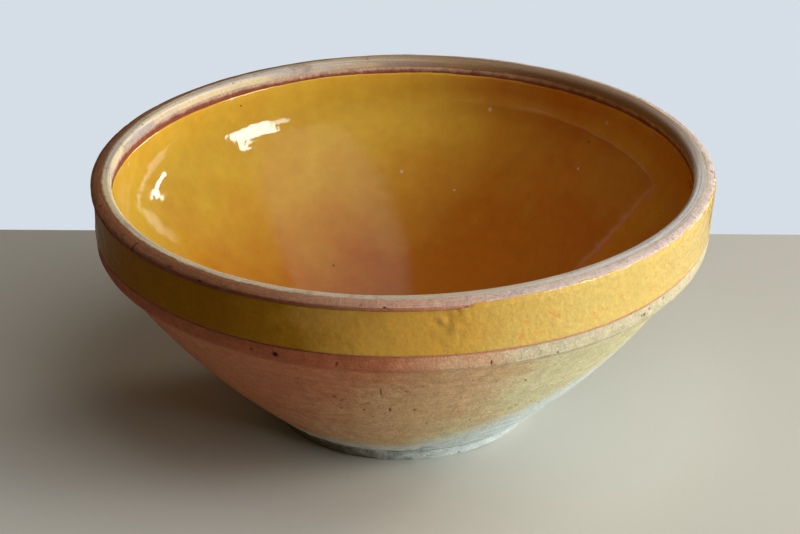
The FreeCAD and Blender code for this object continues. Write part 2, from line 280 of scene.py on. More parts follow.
# Grit that fell out, knocks and drag marks. Angles in degrees from +X towards +Y; the front is -90.
allRound = (-180, 180)
pitZones = dict(
    bead=dict(count=60, low=124.5 * mm, high=135.2 * mm, reach=(0.6 * mm, 1.7 * mm), depth=0.7,
              round=allRound),
    bevel=dict(count=130, low=164.3 * mm, high=168.8 * mm, reach=(0.5 * mm, 1.3 * mm), depth=0.8,
               round=allRound),
    wall=dict(count=90, low=30 * mm, high=120 * mm, reach=(0.5 * mm, 1.3 * mm), depth=0.5, round=allRound),
    gritty=dict(count=110, low=55 * mm, high=121 * mm, reach=(0.5 * mm, 1.4 * mm), depth=0.5,
                round=(-104, -52)),
    foot=dict(count=26, low=1.5 * mm, high=9.5 * mm, reach=(0.6 * mm, 1.6 * mm), depth=0.5, round=allRound),
)
knocks = [  # the few marks large enough to know the bowl by
    dict(angle=-111.5, height=130.5 * mm, across=2.6 * mm, along=1.7 * mm, depth=1.8 * mm),
    dict(angle=-100.5, height=130 * mm, across=0.9 * mm, along=1.6 * mm, depth=0.9 * mm),
    dict(angle=-74.0, height=129 * mm, across=0.7 * mm, along=2.0 * mm, depth=0.8 * mm),
    dict(angle=-65.0, height=130 * mm, across=0.6 * mm, along=2.4 * mm, depth=0.6 * mm),
    dict(angle=-144.0, height=167.0 * mm, across=0.9 * mm, along=4.0 * mm, depth=1.8 * mm),
    dict(angle=-147.5, height=167.2 * mm, across=1.4 * mm, along=1.1 * mm, depth=1.2 * mm),
    dict(angle=-126.0, height=166.4 * mm, across=2.4 * mm, along=0.8 * mm, depth=1.0 * mm),
    dict(angle=-120.8, height=167.4 * mm, across=1.6 * mm, along=0.9 * mm, depth=1.0 * mm),
    dict(angle=-93.5, height=98 * mm, across=0.8 * mm, along=7.0 * mm, depth=0.7 * mm),
    dict(angle=-92.0, height=78 * mm, across=1.2 * mm, along=3.0 * mm, depth=0.8 * mm),
    dict(angle=-45.0, height=166.5 * mm, across=2.6 * mm, along=0.9 * mm, depth=1.1 * mm),
    dict(angle=-39.5, height=166.3 * mm, across=2.2 * mm, along=0.8 * mm, depth=0.9 * mm),
    dict(angle=-12.0, height=166.6 * mm, across=1.3 * mm, along=1.1 * mm, depth=1.0 * mm),
]


def allPits():
    draw = random.Random(11)
    pits = list(knocks)
    for zone in pitZones.values():
        for i in range(zone["count"]):
            small, large = zone["reach"]
            reach = small + (large - small) * draw.random() ** 2
            angle = draw.uniform(*zone["round"])
            height = draw.uniform(zone["low"], zone["high"])
            across, depth = reach * draw.uniform(0.7, 1.3), reach * zone["depth"]
            pits.append(dict(angle=angle, height=height, across=across, along=reach, depth=depth))
    return pits


fineRing = 2.0 * mm  # finer faces this far round each pit
darkestPitDepth = 0.8 * mm  # a pit this deep is painted darkest, with painted shade and dirt


def makePits(shape):
    marks = []
    for pit in allPits():
        radius = outsideRadius(pit["height"])
        turn = math.radians(pit["angle"])
        out = Vector((math.cos(turn), math.sin(turn), 0))
        marks.append((out * radius + Vector((0, 0, pit["height"])), out, Vector((-out.y, out.x, 0)), pit))
    tree = kdtree.KDTree(len(marks))
    for i, mark in enumerate(marks):
        tree.insert(mark[0], i)
    tree.balance()
    near = set()
    for face in shape.faces:
        centre = face.calc_center_median()
        if math.hypot(centre.x, centre.y) < foot["ring"]:
            continue
        spot, index, far = tree.find(centre)
        pit = marks[index][3]
        if far < max(pit["across"], pit["along"]) + fineRing:
            near.update(face.edges)
    bmesh.ops.subdivide_edges(shape, edges=list(near), cuts=3, use_grid_fill=True)
    shape.normal_update()
    depths = shape.verts.layers.float.new("pit")
    moves = []
    for vert in shape.verts:
        if math.hypot(vert.co.x, vert.co.y) < foot["ring"]:
            continue
        for spot, index, far in tree.find_range(vert.co, 8 * mm):
            centre, out, sideways, pit = marks[index]
            away = vert.co - centre
            edge = math.hypot(away.dot(sideways) / pit["across"], away.z / pit["along"])
            edge += 0.35 * wander(vert.co, 1.1 * mm)
            if edge < 1 and abs(away.dot(out)) < 5 * mm:
                push = pit["depth"] * (1 - edge * edge) ** 2
                moves.append((vert, out * -push))
                vert[depths] = max(vert[depths], min(push / darkestPitDepth, 1.0))
    for vert, move in moves:
        vert.co += move


def linear(hexColour):  # an sRGB hex colour as linear RGBA
    channels = [int(hexColour[i:i + 2], 16) / 255 for i in (1, 3, 5)]
    return tuple(c / 12.92 if c <= 0.04045 else ((c + 0.055) / 1.055) ** 2.4 for c in channels) + (1.0,)


smooth = dict(interpolation_type="SMOOTHSTEP")
colours = dict(data_type="RGBA")  # a mix of two colours, its sockets 6 and 7 and its output 2


def addNode(tree, kind, inputs, output=0, **settings):  # adds a node with its values, links and settings
    node = tree.nodes.new("ShaderNode" + kind)
    for key, value in settings.items():
        setattr(node, key, value)
    for key, value in inputs.items():
        if isinstance(value, bpy.types.NodeSocket):
            tree.links.new(value, node.inputs[key])
        else:
            node.inputs[key].default_value = value
    return node.outputs[output] if node.outputs else None


def newMaterial(name):  # with the object's own coordinates, its X, and the height before the rim tilted
    material = bpy.data.materials.new(name)
    material.use_nodes = True
    tree = material.node_tree
    tree.nodes.clear()
    place = addNode(tree, "TexCoord", {}, "Object")
    sideways = addNode(tree, "SeparateXYZ", {0: place}, "X")
    level = addNode(tree, "Attribute", {}, "Fac", attribute_name="level")
    return material, tree, place, sideways, level


def finishSurface(tree, colour, roughness, normal, ior, shine=0.5):
    shader = addNode(tree, "BsdfPrincipled",
        {"Base Color": colour, "Roughness": roughness, "Normal": normal, "IOR": ior,
        "Specular IOR Level": shine})
    addNode(tree, "OutputMaterial", {"Surface": shader})


# Spots in cells, each at a place and of a size of its own. A share of the cells stays empty.
def scattered(tree, place, scale, empty, largest):  # the distance to the cell's spot, and its size
    cells = dict(Vector=place, Scale=scale)
    away = addNode(tree, "TexVoronoi", cells, "Distance")
    chance = addNode(tree, "SeparateColor", {0: addNode(tree, "TexVoronoi", cells, "Color")})
    size = addNode(tree, "MapRange", {"Value": chance, "From Min": empty, "To Max": largest})
    return away, size


# The lip was never glazed. Its slip is left on the crown and rubbed off the outer side, further in on the
# side that fired redder. The clay and the slip share this, so the worn edge runs on from one to the other.
lipLook = dict(bareRed="#94603F", bareTan="#D0A286", bareMauve="#CDB8AC", wornLean=0.009,
               wornRadius=195.2 * mm, wornWidth=2.2 * mm)


def lipWear(tree, place, sideways, patches, look=lipLook):
    flat = addNode(tree, "VectorMath", {0: place, 1: (1.0, 1.0, 0.0)}, operation="MULTIPLY")
    radius = addNode(tree, "VectorMath", {0: flat}, "Value", operation="LENGTH")
    ragged = addNode(tree, "Math", {0: patches, 1: 0.0045, 2: radius}, operation="MULTIPLY_ADD")
    edge = addNode(tree, "Math", {0: sideways, 1: -look["wornLean"], 2: ragged}, operation="MULTIPLY_ADD")
    slipLeft = addNode(tree, "MapRange", {"Value": edge, "From Min": look["wornRadius"] + look["wornWidth"],
        "From Max": look["wornRadius"]}, **smooth)
    toPink = addNode(tree, "MapRange", {"Value": sideways, "From Min": -0.10, "From Max": 0.04}, **smooth)
    toMauve = addNode(tree, "MapRange", {"Value": sideways, "From Min": 0.0, "From Max": 0.09}, **smooth)
    warm = addNode(tree, "Mix", {0: toPink, 6: linear(look["bareRed"]), 7: linear(look["bareTan"])}, 2,
        **colours)
    bare = addNode(tree, "Mix", {0: toMauve, 6: warm, 7: linear(look["bareMauve"])}, 2, **colours)
    # Streaks that the potter's fingers and a wet rag left, running round the lip.
    across = addNode(tree, "Math", {0: radius, 1: 700.0}, operation="MULTIPLY")
    acrossOnly = addNode(tree, "CombineXYZ", {0: across})
    swept = addNode(tree, "VectorMath", {0: place, 1: (11.0, 11.0, 0.0), 2: acrossOnly},
        operation="MULTIPLY_ADD")
    streaks = addNode(tree, "TexNoise", {"Vector": swept, "Scale": 1.0, "Detail": 4.0, "Roughness": 0.6})
    return dict(radius=radius, slipLeft=slipLeft, toPink=toPink, bare=bare, streaks=streaks)


# Lead glaze over white slip: glassy, clear honey-yellow, a little amber where it pooled thick; the amber low
# in the bowl and on its +X side is partly painted shade.
insideGlazeLook = dict(thin="#D4AE3C", pooledAndShaded="#BF7018", fleck="#5A3410", pinhole="#D9C6B8",
                       ior=1.54, roughness=0.06)


def leadGlazeInside(look=insideGlazeLook):
    material, tree, place, sideways, level = newMaterial("leadGlazeInside")
    # Clouds 60 mm across, and mottling of 8 mm.
    clouds = addNode(tree, "TexNoise", {"Vector": place, "Scale": 16.0, "Detail": 4.0, "Roughness": 0.55})
    mottle = addNode(tree, "TexNoise", {"Vector": place, "Scale": 120.0, "Detail": 5.0, "Roughness": 0.6})
    runs = addNode(tree, "VectorMath", {0: place, 1: (70.0, 70.0, 9.0)}, operation="MULTIPLY")
    streaks = addNode(tree, "TexNoise", {"Vector": runs, "Scale": 1.0, "Detail": 3.0})
    # Thick on the floor and where it ran, thin under the lip. The amber on the floor is partly painted
    # shade, for the shade and warm bounce light low in the bowl.
    low = addNode(tree, "MapRange", {"Value": level, "From Min": 0.135, "From Max": 0.02}, **smooth)
    cloudy = addNode(tree, "Math", {0: clouds, 1: 0.9, 2: -0.42}, operation="MULTIPLY_ADD")
    runny = addNode(tree, "Math", {0: streaks, 1: 0.35, 2: cloudy}, operation="MULTIPLY_ADD")
    # Browner towards +X, where the inner wall faces away from the lamps: painted shade.
    paintedShadeRight = addNode(tree, "MapRange", {"Value": sideways, "From Min": -0.03, "From Max": 0.12,
        "To Max": 0.65}, **smooth)
    browner = addNode(tree, "Math", {0: runny, 1: paintedShadeRight}, operation="ADD")
    poolingAndShade = addNode(tree, "Math", {0: low, 1: 0.75, 2: browner}, operation="MULTIPLY_ADD", use_clamp=True)
    base = addNode(tree, "Mix", {0: poolingAndShade, 6: linear(look["thin"]), 7: linear(look["pooledAndShaded"])}, 2,
        **colours)
    shade = addNode(tree, "MapRange", {"Value": mottle, "From Min": 0.3, "From Max": 0.75, "To Min": 0.92,
        "To Max": 1.05})
    mottled = addNode(tree, "VectorMath", {0: base, "Scale": shade}, operation="SCALE")
    # Flecks of iron and burst blisters, in cells 16 mm apart, most of them too small to see.
    away, size = scattered(tree, place, 62.0, 0.5, 0.085)
    inner = addNode(tree, "Math", {0: size, 1: 0.45}, operation="MULTIPLY")
    fleck = addNode(tree, "MapRange", {"Value": away, "From Min": size, "From Max": inner, "To Max": 0.85})
    flecked = addNode(tree, "Mix", {0: fleck, 6: mottled, 7: linear(look["fleck"])}, 2, **colours)
    # Pinholes in cells 20 mm apart, where the pale slip shows.
    holeAway, holeSize = scattered(tree, place, 50.0, 0.3, 0.075)
    hole = addNode(tree, "Math", {0: holeAway, 1: holeSize}, operation="LESS_THAN")
    holeShare = addNode(tree, "Math", {0: hole, 1: 0.6}, operation="MULTIPLY")
    colour = addNode(tree, "Mix", {0: holeShare, 6: flecked, 7: linear(look["pinhole"])}, 2, **colours)
    ripple = addNode(tree, "TexNoise", {"Vector": place, "Scale": 110.0, "Detail": 2.0})
    # The glaze's skin is rougher up by the lip, where it is thin.
    upper = addNode(tree, "MapRange", {"Value": level, "From Min": 0.10, "From Max": 0.14, "To Min": 0.12,
        "To Max": 0.32})
    wavy = addNode(tree, "Bump", {"Height": ripple, "Strength": upper, "Distance": 0.0006})
    dimpled = addNode(tree, "Bump", {"Height": fleck, "Strength": 0.4, "Distance": -0.0004, "Normal": wavy})
    finishSurface(tree, colour, look["roughness"], dimpled, look["ior"])
    return material


# The same glaze on the band: thinner, dulled by handling, brown on the left and bright yellow on the right;
# the brown is partly from the fire and partly painted shade, the bright yellow partly painted light.
bandGlazeLook = dict(bright="#C9AC5A", middle="#C4932E", brown="#90600F", stain="#C2641C", fleck="#4A2C0E",
                     ior=1.52, roughness=0.10, worn=0.26)


def leadGlazeBand(look=bandGlazeLook):
    material, tree, place, sideways = newMaterial("leadGlazeBand")[:4]
    # Clouds 30 mm across, and mottling of 2 mm.
    clouds = addNode(tree, "TexNoise", {"Vector": place, "Scale": 35.0, "Detail": 5.0, "Roughness": 0.6})
    mottle = addNode(tree, "TexNoise", {"Vector": place, "Scale": 420.0, "Detail": 4.0, "Roughness": 0.7})
    # From brown on the left to bright yellow on the right: partly fired colour, partly painted shade on the
    # left and painted light on the right.
    across = addNode(tree, "Math", {0: clouds, 1: 0.10, 2: sideways}, operation="MULTIPLY_ADD")
    brownShadeToMiddle = addNode(tree, "MapRange", {"Value": across, "From Min": -0.062, "From Max": 0.056}, **smooth)
    middleToLitBright = addNode(tree, "MapRange", {"Value": across, "From Min": 0.05, "From Max": 0.18}, **smooth)
    lower = addNode(tree, "Mix", {0: brownShadeToMiddle, 6: linear(look["brown"]), 7: linear(look["middle"])}, 2,
        **colours)
    base = addNode(tree, "Mix", {0: middleToLitBright, 6: lower, 7: linear(look["bright"])}, 2, **colours)
    shade = addNode(tree, "MapRange", {"Value": mottle, "From Min": 0.3, "From Max": 0.7, "To Min": 0.86,
        "To Max": 1.06})
    blots = addNode(tree, "TexNoise", {"Vector": place, "Scale": 95.0, "Detail": 6.0, "Roughness": 0.7})
    blotShade = addNode(tree, "MapRange", {"Value": blots, "From Min": 0.3, "From Max": 0.7, "To Min": 0.93,
        "To Max": 1.06})
    allShade = addNode(tree, "Math", {0: shade, 1: blotShade}, operation="MULTIPLY")
    mottled = addNode(tree, "VectorMath", {0: base, "Scale": allShade}, operation="SCALE")
    # Orange where the glaze is thin over the clay: in blots, and along the edge that climbed the rim.
    blot = addNode(tree, "MapRange", {"Value": blots, "From Min": 0.60, "From Max": 0.72, "To Max": 0.6})
    overLip = addNode(tree, "Attribute", {}, "Fac", attribute_name="climb")
    highEdge = addNode(tree, "MapRange", {"Value": overLip, "From Min": 0.84, "From Max": 0.98,
        "To Max": 0.55})
    thin = addNode(tree, "Math", {0: blot, 1: highEdge}, operation="MAXIMUM")
    stained = addNode(tree, "Mix", {0: thin, 6: mottled, 7: linear(look["stain"])}, 2, **colours)
    away, size = scattered(tree, place, 130.0, 0.72, 0.10)  # in cells 8 mm apart
    inner = addNode(tree, "Math", {0: size, 1: 0.5}, operation="MULTIPLY")
    fleck = addNode(tree, "MapRange", {"Value": away, "From Min": size, "From Max": inner, "To Max": 0.85})
    colour = addNode(tree, "Mix", {0: fleck, 6: stained, 7: linear(look["fleck"])}, 2, **colours)
    dull = addNode(tree, "MapRange", {"Value": clouds, "From Min": 0.35, "From Max": 0.65,
        "To Min": look["roughness"], "To Max": look["worn"]})
    # It stays glassy on the thick edge that climbed the rim.
    glassy = addNode(tree, "MapRange", {"Value": overLip, "From Min": 0.3, "From Max": 0.8, "To Min": 1.0,
        "To Max": 0.45})
    rubbed = addNode(tree, "Math", {0: dull, 1: glassy}, operation="MULTIPLY")
    skin = addNode(tree, "TexNoise", {"Vector": place, "Scale": 220.0, "Detail": 3.0})
    # Its skin is most uneven where it is thick.
    uneven = addNode(tree, "MapRange", {"Value": sideways, "From Min": 0.0, "From Max": 0.17,
        "To Min": 0.35, "To Max": 1.0})
    rough = addNode(tree, "Bump", {"Height": skin, "Strength": uneven, "Distance": 0.0014})
    dimpled = addNode(tree, "Bump", {"Height": fleck, "Strength": 0.5, "Distance": -0.0004,
        "Normal": rough})
    # Smoke took the shine off it on the brown side.
    shine = addNode(tree, "MapRange", {"Value": brownShadeToMiddle, "From Min": 0.3, "From Max": 1.0, "To Min": 0.012,
        "To Max": 0.5})
    finishSurface(tree, colour, rubbed, dimpled, look["ior"], shine)
    return material


# Earthenware fired bare: matt and gritty, red where the fire was short of air and greenish buff where it
# was not, with a dark glassy line wherever it borders the glaze.
terracottaLook = dict(red="#BA734A", tan="#D0AC7E", buff="#D3CB9F", pale="#D6E2E0", beadRed="#A85C38",
                      beadTan="#CE9C76", beadBuff="#BFB594", bevelCream="#C8BCA4", line="#6A2A1A",
                      linePink="#B8705C", maroon="#8A4634", insideCream="#C4A68C", footDirtAndShade="#685A3C",
                      dirtAndPaintedShade="#3A2818", lipFace=189.5 * mm, ior=1.45, roughness=0.82)


def unglazedTerracotta(look=terracottaLook):
    material, tree, place, sideways, level = newMaterial("unglazedTerracotta")
    # Clouds 40 mm across, grit of 1.5 mm and patches of 7 mm.
    clouds = addNode(tree, "TexNoise", {"Vector": place, "Scale": 24.0, "Detail": 7.0, "Roughness": 0.62})
    grit = addNode(tree, "TexNoise", {"Vector": place, "Scale": 650.0, "Detail": 4.0, "Roughness": 0.75})
    patches = addNode(tree, "TexNoise", {"Vector": place, "Scale": 140.0, "Detail": 6.0, "Roughness": 0.7})
    # The flame's edge leans: it crosses the wall further over the higher it goes.
    lean = addNode(tree, "Math", {0: level, 1: -0.62, 2: sideways}, operation="MULTIPLY_ADD")
    drift = addNode(tree, "Math", {0: clouds, 1: 0.11, 2: lean}, operation="MULTIPLY_ADD")
    flash = addNode(tree, "Math", {0: patches, 1: 0.035, 2: drift}, operation="MULTIPLY_ADD")
    toTan = addNode(tree, "MapRange", {"Value": flash, "From Min": -0.06, "From Max": 0.05}, **smooth)
    toBuff = addNode(tree, "MapRange", {"Value": flash, "From Min": 0.045, "From Max": 0.105}, **smooth)
    wallRed = addNode(tree, "Mix", {0: toTan, 6: linear(look["red"]), 7: linear(look["tan"])}, 2, **colours)
    wallColour = addNode(tree, "Mix", {0: toBuff, 6: wallRed, 7: linear(look["buff"])}, 2, **colours)
    beadRed = addNode(tree, "Mix", {0: toTan, 6: linear(look["beadRed"]), 7: linear(look["beadTan"])}, 2,
        **colours)
    paler = addNode(tree, "MapRange", {"Value": flash, "From Min": 0.015, "From Max": 0.075}, **smooth)
    beadColour = addNode(tree, "Mix", {0: paler, 6: beadRed, 7: linear(look["beadBuff"])}, 2, **colours)
    lip = lipWear(tree, place, sideways, patches)
    onBead = addNode(tree, "MapRange", {"Value": level, "From Min": 0.1225, "From Max": 0.1255})
    upward = addNode(tree, "Mix", {0: onBead, 6: wallColour, 7: beadColour}, 2, **colours)
    smeared = addNode(tree, "Math", {0: patches, 1: 0.004, 2: level}, operation="MULTIPLY_ADD")
    bevelColour = addNode(tree, "Mix", {0: lip["slipLeft"], 6: lip["bare"], 7: linear(look["bevelCream"])},
        2, **colours)
    onBevel = addNode(tree, "MapRange", {"Value": level, "From Min": 0.150, "From Max": 0.152})
    outer = addNode(tree, "Mix", {0: onBevel, 6: upward, 7: bevelColour}, 2, **colours)
    # Between the inside glaze and the slip the clay is maroon, then creamy.
    inwards = addNode(tree, "Math", {0: lip["radius"], 1: look["lipFace"]}, operation="LESS_THAN")
    within = addNode(tree, "Math", {0: inwards, 1: onBevel}, operation="MULTIPLY")
    fading = addNode(tree, "MapRange", {"Value": smeared, "From Min": 0.1622, "From Max": 0.1652}, **smooth)
    faceColour = addNode(tree, "Mix", {0: fading, 6: linear(look["maroon"]),
        7: linear(look["insideCream"])}, 2, **colours)
    zoned = addNode(tree, "Mix", {0: within, 6: outer, 7: faceColour}, 2, **colours)
    # Near the foot the buff creeps all the way round, and higher on the right; its blue-white colour there
    # is partly the clay and partly painted sky light.
    creeping = addNode(tree, "Math", {0: sideways, 1: -0.45, 2: level}, operation="MULTIPLY_ADD")
    lower = addNode(tree, "Math", {0: creeping, 1: level}, operation="MINIMUM")
    footward = addNode(tree, "Math", {0: patches, 1: 0.016, 2: lower}, operation="MULTIPLY_ADD")
    onFoot = addNode(tree, "MapRange", {"Value": footward, "From Min": 0.038, "From Max": 0.017}, **smooth)
    # The foot is dark on the left, with dirt and with painted shade on the side away from the lamps; the
    # crease above it is darkened too, with painted shade.
    footSide = addNode(tree, "Math", {0: patches, 1: 0.10, 2: sideways}, operation="MULTIPLY_ADD")
    leftDirtAndShade = addNode(tree, "MapRange", {"Value": footSide, "From Min": 0.09, "From Max": -0.005,
        "To Max": 0.95}, **smooth)
    onRing = addNode(tree, "MapRange", {"Value": footward, "From Min": 0.024, "From Max": 0.016}, **smooth)
    ringDirtAndShade = addNode(tree, "Math", {0: leftDirtAndShade, 1: onRing}, operation="MULTIPLY")
    paleFoot = addNode(tree, "Mix", {0: ringDirtAndShade, 6: linear(look["pale"]), 7: linear(look["footDirtAndShade"])}, 2,
        **colours)
    footed = addNode(tree, "Mix", {0: onFoot, 6: zoned, 7: paleFoot}, 2, **colours)
    # Turned lines, round the bowl.
    turnedPlace = addNode(tree, "VectorMath", {0: place, 1: (9.0, 9.0, 1100.0)}, operation="MULTIPLY")
    lines = addNode(tree, "TexNoise", {"Vector": turnedPlace, "Scale": 1.0, "Detail": 3.0})
    gritShade = addNode(tree, "MapRange", {"Value": grit, "From Min": 0.3, "From Max": 0.7, "To Min": 0.78,
        "To Max": 1.20})
    lineShade = addNode(tree, "MapRange", {"Value": lines, "From Min": 0.3, "From Max": 0.7, "To Min": 0.90,
        "To Max": 1.07})
    patchShade = addNode(tree, "MapRange",
        {"Value": patches, "From Min": 0.3, "From Max": 0.7, "To Min": 0.78, "To Max": 1.14})
    lined = addNode(tree, "Math", {0: gritShade, 1: lineShade}, operation="MULTIPLY")
    streaky = addNode(tree, "MapRange", {"Value": lip["streaks"], "From Min": 0.35, "From Max": 0.65,
        "To Min": 0.88, "To Max": 1.10})
    streaked = addNode(tree, "Mix", {0: onBevel, 2: 1.0, 3: streaky})
    mixed = addNode(tree, "Math", {0: lined, 1: streaked}, operation="MULTIPLY")
    shade = addNode(tree, "Math", {0: mixed, 1: patchShade}, operation="MULTIPLY")
    shaded = addNode(tree, "VectorMath", {0: footed, "Scale": shade}, operation="SCALE")
    # The glassy red line below the band's glaze, and the fumed red side of the rim above it.
    edgeLevel = addNode(tree, "Attribute", {}, "Fac", attribute_name="border")
    bordering = addNode(tree, "MapRange", {"Value": edgeLevel, "From Min": 0.25, "From Max": 0.6}, **smooth)
    lineColour = addNode(tree, "Mix", {0: lip["toPink"], 6: linear(look["line"]),
        7: linear(look["linePink"])}, 2, **colours)
    broken = addNode(tree, "MapRange", {"Value": patches, "From Min": 0.35, "From Max": 0.6, "To Min": 0.55,
        "To Max": 0.95})
    lineShare = addNode(tree, "Math", {0: bordering, 1: broken}, operation="MULTIPLY")
    bordered = addNode(tree, "Mix", {0: lineShare, 6: shaded, 7: lineColour}, 2, **colours)
    # Painted shade and dirt darken the pits, the deeper the darker; dirt lies in a few spots, and painted
    # shade along the crease above the foot.
    pit = addNode(tree, "Attribute", {}, "Fac", attribute_name="pit")
    spots = addNode(tree, "TexNoise", {"Vector": place, "Scale": 330.0, "Detail": 2.0})
    spot = addNode(tree, "MapRange", {"Value": spots, "From Min": 0.70, "From Max": 0.76, "To Max": 0.55})
    creaseShade = addNode(tree, "Math", {0: level, 1: foot["height"] + 0.0008, 2: 0.0009}, operation="COMPARE")
    creaseShadeAndSpots = addNode(tree, "Math", {0: creaseShade, 1: 0.4, 2: spot}, operation="MULTIPLY_ADD")
    shadeAndDirt = addNode(tree, "Math", {0: pit, 1: 0.9, 2: creaseShadeAndSpots}, operation="MULTIPLY_ADD", use_clamp=True)
    colour = addNode(tree, "Mix", {0: shadeAndDirt, 6: bordered, 7: linear(look["dirtAndPaintedShade"])}, 2, **colours)
    gritty = addNode(tree, "Bump", {"Height": grit, "Strength": 0.7, "Distance": 0.0010})
    pocked = addNode(tree, "Bump", {"Height": patches, "Strength": 0.6, "Distance": 0.0016,
        "Normal": gritty})
    turnedLines = addNode(tree, "Bump", {"Height": lines, "Strength": 0.5, "Distance": 0.0005,
        "Normal": pocked})
    finishSurface(tree, colour, look["roughness"], turnedLines, look["ior"])
    return material


# Pale slip on the lip, never glazed: a dry cream skin, greyed and browned by hands and use.
slipLook = dict(cream="#D6C59C", white="#D4CEC4", grey="#ACA2A0", brown="#84603C", dirtAndPaintedShade="#4A3A2C",
                ior=1.45, roughness=0.62)


def paleSlip(look=slipLook):
    material, tree, place, sideways = newMaterial("paleSlip")[:4]
    clouds = addNode(tree, "TexNoise", {"Vector": place, "Scale": 45.0, "Detail": 6.0, "Roughness": 0.65})
    patches = addNode(tree, "TexNoise", {"Vector": place, "Scale": 140.0, "Detail": 6.0, "Roughness": 0.7})
    lip = lipWear(tree, place, sideways, patches)
    paler = addNode(tree, "MapRange", {"Value": sideways, "From Min": 0.0, "From Max": 0.16}, **smooth)
    creamy = addNode(tree, "Mix", {0: paler, 6: linear(look["cream"]), 7: linear(look["white"])}, 2,
        **colours)
    greyer = addNode(tree, "MapRange", {"Value": lip["streaks"], "From Min": 0.44, "From Max": 0.60},
        **smooth)
    base = addNode(tree, "Mix", {0: greyer, 6: creamy, 7: linear(look["grey"])}, 2, **colours)
    # Browned most at the back on the right.
    backRightward = addNode(tree, "VectorMath", {0: place, 1: (3.2, 4.0, 0.0)}, "Value", operation="DOT_PRODUCT")
    backRightShare = addNode(tree, "MapRange", {"Value": backRightward, "From Min": 0.45, "From Max": 0.95, "To Max": 0.85},
        **smooth)
    stains = addNode(tree, "MapRange", {"Value": clouds, "From Min": 0.56, "From Max": 0.70, "To Max": 0.5},
        **smooth)
    brown = addNode(tree, "Math", {0: backRightShare, 1: stains}, operation="MAXIMUM")
    browned = addNode(tree, "Mix", {0: brown, 6: base, 7: linear(look["brown"])}, 2, **colours)
    # Rubbed through to the clay towards its outer edge.
    worn = addNode(tree, "Mix", {0: lip["slipLeft"], 6: lip["bare"], 7: browned}, 2, **colours)
    grit = addNode(tree, "TexNoise", {"Vector": place, "Scale": 700.0, "Detail": 4.0, "Roughness": 0.7})
    shade = addNode(tree, "MapRange", {"Value": grit, "From Min": 0.3, "From Max": 0.7, "To Min": 0.82,
        "To Max": 1.12})
    shaded = addNode(tree, "VectorMath", {0: worn, "Scale": shade}, operation="SCALE")
    spots = addNode(tree, "TexNoise", {"Vector": place, "Scale": 420.0, "Detail": 2.0})
    spot = addNode(tree, "MapRange", {"Value": spots, "From Min": 0.68, "From Max": 0.75, "To Max": 0.7})
    colour = addNode(tree, "Mix", {0: spot, 6: shaded, 7: linear(look["dirtAndPaintedShade"])}, 2, **colours)
    rough = addNode(tree, "Bump", {"Height": grit, "Strength": 0.5, "Distance": 0.0004})
    finishSurface(tree, colour, look["roughness"], rough, look["ior"])
    return material


def clayUnevenness(co):  # how far the bare clay stands out at a point
    radius = math.hypot(co.x, co.y)
    if co.z < 0.5 * mm or radius < foot["ring"]:
        return 0.0
    if radius < outsideRadius(co.z) - 4 * mm and foot["height"] < co.z < collar["bandTop"]:
        return 0.0  # the inside, under the glaze
    if radius < collar["crownRadius"] + 1 * mm and co.z > collar["low"]:
        return 0.0  # under the slip
    onBand = collar["bandLow"] - 0.2 * mm < co.z < collar["bandTop"] + 0.2 * mm
    if onBand and radius < collar["rimRadius"] - 0.6 * mm:
        return 0.0  # under the band's glaze
    if co.z < collar["low"] - 2 * mm:
        return mm * (0.06 * rings(co, 9 * mm, 0.6) + 0.40 * wander(co, 55 * mm) + 0.14 * wander(co, 12 * mm))
    return mm * (0.05 * rings(co, 3 * mm, 0.5) + 0.25 * wander(co, 30 * mm) + 0.10 * wander(co, 6 * mm))


def markBorders(shape):  # 1 on the line under the band's glaze and on the rim's side above it
    border = shape.verts.layers.float.new("border")
    for vert in shape.verts:
        height, ragged = vert.co.z, 0.5 * mm * wander(vert.co, 7 * mm, 6.0)
        line = hump(-1.3 * mm, -0.3 * mm, 1.5 * mm, height - collar["bandLow"])
        side = hump(-2 * mm, 0.8 * mm, 4 * mm, height - collar["bandTop"] + ragged)
        if math.hypot(vert.co.x, vert.co.y) > collar["beadRadius"] - 1.5 * mm:
            vert[border] = max(line, side)


def makeClayBody():
    shape = turned(clayOutline())
    shift(shape, clayUnevenness)
    markBorders(shape)
    makePits(shape)
    return finished(shape, "thrownClay", "clay_body", unglazedTerracotta())


glazeShort = dict(by=1.8 * mm, round=(100, 160, 215))  # its edge is lower at the back on the left


def makeInsideGlaze():
    coat, edge = coats["glaze"], glazeHigh.z
    skin = insideOutline(coat, 56, 12)
    skin += straight(skin[-1], (skin[-1][0], edge - 0.8 * mm), 6)
    skin += [(skin[-1][0] + 0.15 * mm, edge - 0.25 * mm), (skin[-1][0] + 0.45 * mm, edge)]
    back = insideOutline(0, 12, 4)
    shape = turned(skin + [(collar["insideRadius"], edge)] + back[::-1])
    for vert in shape.verts:
        co = vert.co
        share = smoothStep(edge - 5 * mm, edge, co.z)
        ragged = 0.6 * mm * (wander(co, 28 * mm, 5.0) + 0.5 * wander(co, 7 * mm, 2.0))
        angle = math.degrees(math.atan2(co.y, co.x)) % 360
        short = glazeShort["by"] * hump(*glazeShort["round"], angle)
        co.z += share * (ragged - short)
    shape.normal_update()
    for vert in shape.verts:
        co = vert.co
        if vert.normal.z > 0.05 or vert.normal.x * co.x + vert.normal.y * co.y < 0:
            wave = 0.02 * rings(co, 9 * mm, 0.8) + 0.22 * wander(co, 42 * mm) + 0.03 * wander(co, 12 * mm)
            vert.co += vert.normal * wave * mm
    return finished(shape, "insideGlazeCoat", "inside_glaze", leadGlazeInside())


